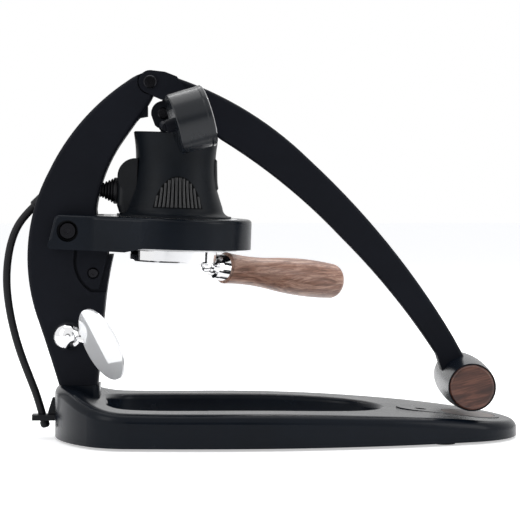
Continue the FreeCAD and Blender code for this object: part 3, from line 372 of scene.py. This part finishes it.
# Sleeve
SLEEVE_SHAPE = [(0.2, 44.1), (1.6, 41), (3.2, 39.6), (8, 37.2), (14.5, 34.9), (21, 32.8), (28, 31.6),
                (46, 30.7), (61.2, 32.4), (64.4, 32.9)]


def sleeve_radius(level):
    """Radius of the sleeve at a height over the head's lower rim."""
    for (low, first), (high, second) in zip(SLEEVE_SHAPE, SLEEVE_SHAPE[1:]):
        if level <= high:
            return first + (second - first) * (level - low) / (high - low)
    return SLEEVE_SHAPE[-1][1]


def on_sleeve(angle, level, proud):
    """A point on the sleeve's side, standing proud of it by that many millimetres."""
    reach = (sleeve_radius(level) + proud) * MM
    return HEAD @ Vector((reach * math.cos(angle), reach * math.sin(angle), level * MM))


GRIP_FOOT, GRIP_HIGH, GRIP_HALF = 8.2, 23, 17.6


def grip_top(across):
    """Height of the half-moon's edge at a distance from its middle."""
    share = min(1, abs(across) / GRIP_HALF)
    return GRIP_FOOT + GRIP_HIGH * math.sqrt(1 - share ** 2)


def make_grip_pads():
    """Half-moon finger grips of upright ribs, near and far, over a near-black sheet that is painted shade for
    the grooves between the ribs.
    """
    ribs, pitch, rib_half, rise = 12, 2.95, 0.95, 0.75
    columns, rows, rib_sides = 40, 14, 6
    widen, margin, shortest = 1.03, 0.6, 3
    waist = sleeve_radius(GRIP_FOOT + 8)
    for label, middle in (("near", math.radians(-85)), ("far", math.radians(95))):
        plate, bars = bmesh.new(), bmesh.new()
        # The plate is a near-black sheet under the ribs: painted shade for the grooves
        grid = []
        for column in range(columns + 1):
            across = GRIP_HALF * widen * (2 * column / columns - 1)
            top = grip_top(across / widen) + margin
            line = []
            for row in range(rows + 1):
                level = GRIP_FOOT - margin + (top - GRIP_FOOT + margin) * row / rows
                angle = middle + across / waist
                line.append(plate.verts.new(on_sleeve(angle, level, 0.12)))
            grid.append(line)
        for left, right in zip(grid, grid[1:]):
            for row in range(rows):
                plate.faces.new([left[row], right[row], right[row + 1], left[row + 1]])
        finish_mesh(f"grip_groove_shade_{label}", plate, GROOVE_SHADE, "root")
        for rib in range(ribs):
            across = (rib - (ribs - 1) / 2) * pitch
            top = grip_top(across) - 0.3
            if top - GRIP_FOOT < shortest:
                continue
            angle = middle + across / waist
            rings = []
            for row in range(rows + 1):
                share = row / rows
                level = GRIP_FOOT + (top - GRIP_FOOT) * share
                height = rise * min(1, 6 * min(share, 1 - share) + 0.12)
                ring = []
                for step in range(rib_sides + 1):
                    bend = math.pi * step / rib_sides
                    side = rib_half * math.cos(bend) / sleeve_radius(level)
                    ring.append(bars.verts.new(on_sleeve(angle - side, level, 0.1 + height * math.sin(bend))))
                rings.append(ring)
            for low, high in zip(rings, rings[1:]):
                for step in range(rib_sides):
                    bars.faces.new([low[step], low[step + 1], high[step + 1], high[step]])
            bars.faces.new(rings[0])
            bars.faces.new(rings[-1])
        finish_mesh(f"grip_ribs_{label}", bars, RIB, "root")


def make_sleeve_pad():
    """Small plain raised pad on the sleeve's side towards the grip."""
    bm = bmesh.new()
    low, high, half, rise, edge = 21.5, 46, 7, 1.2, 1.0
    sleeve_side, sunk = 31, 0.1
    levels, sides = 16, 12
    grid = []
    for row in range(levels + 1):
        level = low + (high - low) * row / levels
        line = []
        for column in range(sides + 1):
            across = half * (2 * column / sides - 1)
            inset = min(level - low, high - level, half - abs(across))
            proud = rise * math.sqrt(max(0.0, min(1, inset / edge))) - sunk
            line.append(bm.verts.new(on_sleeve(across / sleeve_side, level, proud)))
        grid.append(line)
    for below, above in zip(grid, grid[1:]):
        for column in range(sides):
            bm.faces.new([below[column], below[column + 1], above[column + 1], above[column]])
    finish_mesh("sleeve_pad", bm, MOULDED, "root")


def make_relief():
    """Ribbed strain relief that stands for the plain cone."""
    start = HEAD @ (Vector((-44.1, 0, 19)) * MM) / MM
    end = Vector((-143.2, 0, 190.9))
    run = end - start
    length = run.length
    bm = bmesh.new()
    ribs, widest, taper, tip = 4, 9.2, 3.2, 5.6
    collar_length = 3.2
    ribbed_length = length - 4.2
    pitch = ribbed_length / ribs
    profile = [(0, 0), (10, 0), (10.2, 0.6), (10.1, 2.4), (9.5, 3)]
    for rib in range(ribs):
        begin = collar_length + ribbed_length * rib / ribs
        radius = widest - taper * rib / (ribs - 1)
        profile += [(radius - 1.1, begin), (radius - 0.1, begin + 0.25 * pitch),
                    (radius - 0.1, begin + 0.6 * pitch), (radius - 1.2, begin + 0.85 * pitch)]
    profile += [(tip, length), (0, length)]
    lathe(bm, profile, facing(start, run))
    piece = finish_mesh("relief_ribbed", bm, SOFT_BLACK, "root", smooth=50)
    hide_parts("strain_relief")


# Screws
def hex_socket(bm, point, direction, outer, across, depth):
    """Fill a round recess down to a six-sided socket, so the head reads as a socket screw."""
    place = facing(point, direction)
    steps = 36
    top, inner, floor = [], [], []
    for step in range(steps):
        angle = 2 * math.pi * step / steps
        from_flat = (angle + math.pi / 6) % (math.pi / 3) - math.pi / 6
        reach = across / math.cos(from_flat)
        for ring, radius, level in ((top, outer, 0), (inner, reach, 0), (floor, reach, -depth)):
            ring.append(bm.verts.new(place @ (around(angle, radius, level) * MM)))
    for step in range(steps):
        after = (step + 1) % steps
        bm.faces.new([top[step], top[after], inner[after], inner[step]])
        bm.faces.new([inner[step], inner[after], floor[after], floor[step]])
    bm.faces.new(floor)


def make_sockets():
    """Sockets in the bolt heads, by body: place, outward direction, round radius and half width."""
    near, far, depth = (0, -1, 0), (0, 1, 0), 0.9
    rows = {
        "root": [((-167, -25.35, 160.3), near, 2.6, 1.9), ((-148.2, -15.6, 127.7), near, 1.6, 1.15),
                 ((-148.2, 15.6, 127.7), far, 1.6, 1.15)],
        "lever": [((-104.4, -19.2, 273.7), near, 2.2, 1.6)],
        "stem": [((-94.4, -11.6, 249.9), near, 1.8, 1.3), ((-94.4, 11.6, 249.9), far, 1.8, 1.3)],
    }
    for body, sockets in rows.items():
        bm = bmesh.new()
        for point, direction, outer, across in sockets:
            hex_socket(bm, point, direction, outer, across, depth)
        finish_mesh(f"screw_sockets_{body}", bm, SCREW, body, smooth=25)


# Gauge
GAUGE_MIDDLE = Vector((-73, -55.5, 244))
GAUGE_HALF_LENGTH, DIAL_SUNK = 13.5, 6.3


def gauge_frame():
    """The dial's frame: its middle, with Z out of the face and Y up."""
    pitch, yaw = math.radians(15.8), math.radians(8)
    direction = Vector((math.cos(pitch) * math.cos(yaw), math.cos(pitch) * math.sin(yaw), math.sin(pitch)))
    turn = direction.to_track_quat("Z", "Y").to_matrix().to_4x4()
    return Matrix.Translation((GAUGE_MIDDLE + direction * (GAUGE_HALF_LENGTH - DIAL_SUNK)) * MM) @ turn


def make_dial_print():
    """Tick marks and plain numbers on the dial."""
    place = gauge_frame()
    bm = bmesh.new()
    first, sweep, ticks = math.radians(225), math.radians(270), 48
    tick_reach, number_reach, numbers, number_step, ink_rise = 19.2, 13, 5, 3, 0.02
    for tick in range(ticks + 1):
        angle = first - sweep * tick / ticks
        length, half = (3.2, 0.28) if tick % 12 == 0 else (2.4, 0.2) if tick % 4 == 0 else (1.4, 0.12)
        along = Vector((math.cos(angle), math.sin(angle), 0))
        side = Vector((-along.y, along.x, 0)) * half
        outer = along * tick_reach
        inner = along * (tick_reach - length)
        bm.faces.new([bm.verts.new(place @ (corner * MM)) for corner in
                      (outer + side, outer - side, inner - side, inner + side)])
    finish_mesh("dial_ticks", bm, INK, "stem")
    for index in range(numbers):
        angle = first - sweep * index / (numbers - 1)
        text = bpy.data.curves.new(f"dial_text_{index}", "FONT")
        text.body = str(index * number_step)
        text.size = 4.2 * MM
        text.align_x = "CENTER"
        text.align_y = "CENTER"
        writer = bpy.data.objects.new(f"dial_text_{index}", text)
        bpy.context.scene.collection.objects.link(writer)
        bpy.context.view_layer.update()
        mesh = bpy.data.meshes.new_from_object(writer)
        bpy.data.objects.remove(writer)
        spot = around(angle, number_reach, ink_rise) * MM
        mesh.transform(place @ Matrix.Translation(spot))
        mesh.materials.clear()
        mesh.materials.append(INK)
        number = bpy.data.objects.new(f"dial_number_{index}", mesh)
        bpy.context.scene.collection.objects.link(number)
        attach(number, "stem")


def make_bezel_line():
    """Thin bright bead where the bezel meets the glass."""
    place = gauge_frame() @ Matrix.Translation((0, 0, DIAL_SUNK * MM))
    bm = bmesh.new()
    lathe(bm, [(22.5, 0.02), (22.2, 0.3), (20.4, 0.3), (20.1, 0.02)], place, steps=96)
    finish_mesh("bezel_bead", bm, CHROME, "stem")


# Basket
def make_perforations():
    """Rings of small near-black discs on the bottom of the filter basket: painted shade standing for its
    holes.
    """
    place = HEAD @ Matrix.Rotation(LOCKED_TURN, 4, "Z")
    bm = bmesh.new()
    rings, pitch, radius, level, sides = 11, 2.3, 0.42, -32.43, 8
    for ring in range(rings):
        count = max(1, 6 * ring)
        for index in range(count):
            angle = 2 * math.pi * index / count
            centre = around(angle, ring * pitch, level)
            corners = [centre + around(2 * math.pi * side / sides, radius, 0) for side in range(sides)]
            bm.faces.new([bm.verts.new(place @ (corner * MM)) for corner in corners])
    finish_mesh("basket_hole_shade", bm, GROOVE_SHADE, "portafilter")


make_grip_pads()
make_sleeve_pad()
make_relief()
make_sockets()
make_dial_print()
make_bezel_line()
make_perforations()


# Floor, world and lights
def make_floor():
    """White floor, a little brighter to the camera and to gloss, that keeps the shadow."""
    half_size, extra_glow = 6, 0.5
    bm = bmesh.new()
    bmesh.ops.create_grid(bm, x_segments=1, y_segments=1, size=half_size)
    mesh = bpy.data.meshes.new("floor")
    bm.to_mesh(mesh)
    bm.free()
    floor = bpy.data.objects.new("floor", mesh)
    bpy.context.scene.collection.objects.link(floor)
    material = new_material("floor_white", (0.9, 0.9, 0.9), 0.9, specular=0.1)
    path = add(material, "ShaderNodeLightPath")
    seen = add(material, "ShaderNodeMath", operation="MAXIMUM")
    link(material, path, "Is Camera Ray", seen, 0)
    link(material, path, "Is Glossy Ray", seen, 1)
    glow = add(material, "ShaderNodeMath", operation="MULTIPLY")
    glow.inputs[1].default_value = extra_glow
    link(material, seen, "Value", glow, 0)
    shader_of(material).inputs["Emission Color"].default_value = (1, 1, 1, 1)
    link(material, glow, "Value", shader_of(material), "Emission Strength")
    mesh.materials.append(material)


def make_world():
    """White all round for camera and gloss, but for a dark panel in the near side that gloss can pick up."""
    world = bpy.data.worlds.new("studio")
    bpy.context.scene.world = world
    world.use_nodes = True
    nodes, links = world.node_tree.nodes, world.node_tree.links
    background = nodes["Background"]
    ambient, full_dark, full_white, panel_level = (0.5, 0.51, 0.53, 1), -0.985, -0.9, 0.04
    path = nodes.new("ShaderNodeLightPath")
    white = nodes.new("ShaderNodeMix")
    white.data_type = "RGBA"
    white.inputs[6].default_value = ambient
    white.inputs[7].default_value = (1, 1, 1, 1)
    seen = nodes.new("ShaderNodeMath")
    seen.operation = "MAXIMUM"
    through = nodes.new("ShaderNodeMath")
    through.operation = "MAXIMUM"
    links.new(path.outputs["Is Camera Ray"], seen.inputs[0])
    links.new(path.outputs["Is Glossy Ray"], seen.inputs[1])
    links.new(seen.outputs[0], through.inputs[0])
    links.new(path.outputs["Is Transmission Ray"], through.inputs[1])
    links.new(through.outputs[0], white.inputs["Factor"])
    links.new(white.outputs[2], background.inputs["Color"])
    where = nodes.new("ShaderNodeTexCoord")
    parts = nodes.new("ShaderNodeSeparateXYZ")
    front = nodes.new("ShaderNodeMapRange")
    front.interpolation_type = "SMOOTHSTEP"
    limits = (("From Min", full_dark), ("From Max", full_white), ("To Min", panel_level), ("To Max", 1))
    for entry, value in limits:
        front.inputs[entry].default_value = value
    level = nodes.new("ShaderNodeMix")
    level.inputs[2].default_value = 1
    links.new(where.outputs["Generated"], parts.inputs["Vector"])
    links.new(parts.outputs["Y"], front.inputs["Value"])
    links.new(path.outputs["Is Glossy Ray"], level.inputs[0])
    links.new(front.outputs["Result"], level.inputs[3])
    links.new(level.outputs[0], background.inputs["Strength"])


def softbox(name, place, aim, size, power):
    """A rectangular lamp at a place, turned to its aim."""
    data = bpy.data.lights.new(name, "AREA")
    data.shape = "RECTANGLE"
    data.size, data.size_y = size
    data.energy = power
    lamp = bpy.data.objects.new(name, data)
    bpy.context.scene.collection.objects.link(lamp)
    lamp.location = place
    lamp.rotation_euler = (Vector(aim) - Vector(place)).to_track_quat("-Z", "Y").to_euler()


def make_lights():
    softbox("overhead", (0, 0.2, 1.5), (0, 0, 0.1), (1.6, 1.2), 9)
    softbox("back strip", (0, 1.05, 1.5), (0, 0, 0.05), (2.6, 0.22), 11)
    softbox("left", (-1.4, -0.9, 0.9), (0, 0, 0.12), (0.7, 1.2), 7)
    softbox("right", (1.5, -0.7, 0.8), (0, 0, 0.12), (0.7, 1.2), 8)


make_floor()
make_world()
make_lights()
bpy.context.scene.view_settings.view_transform = "Standard"
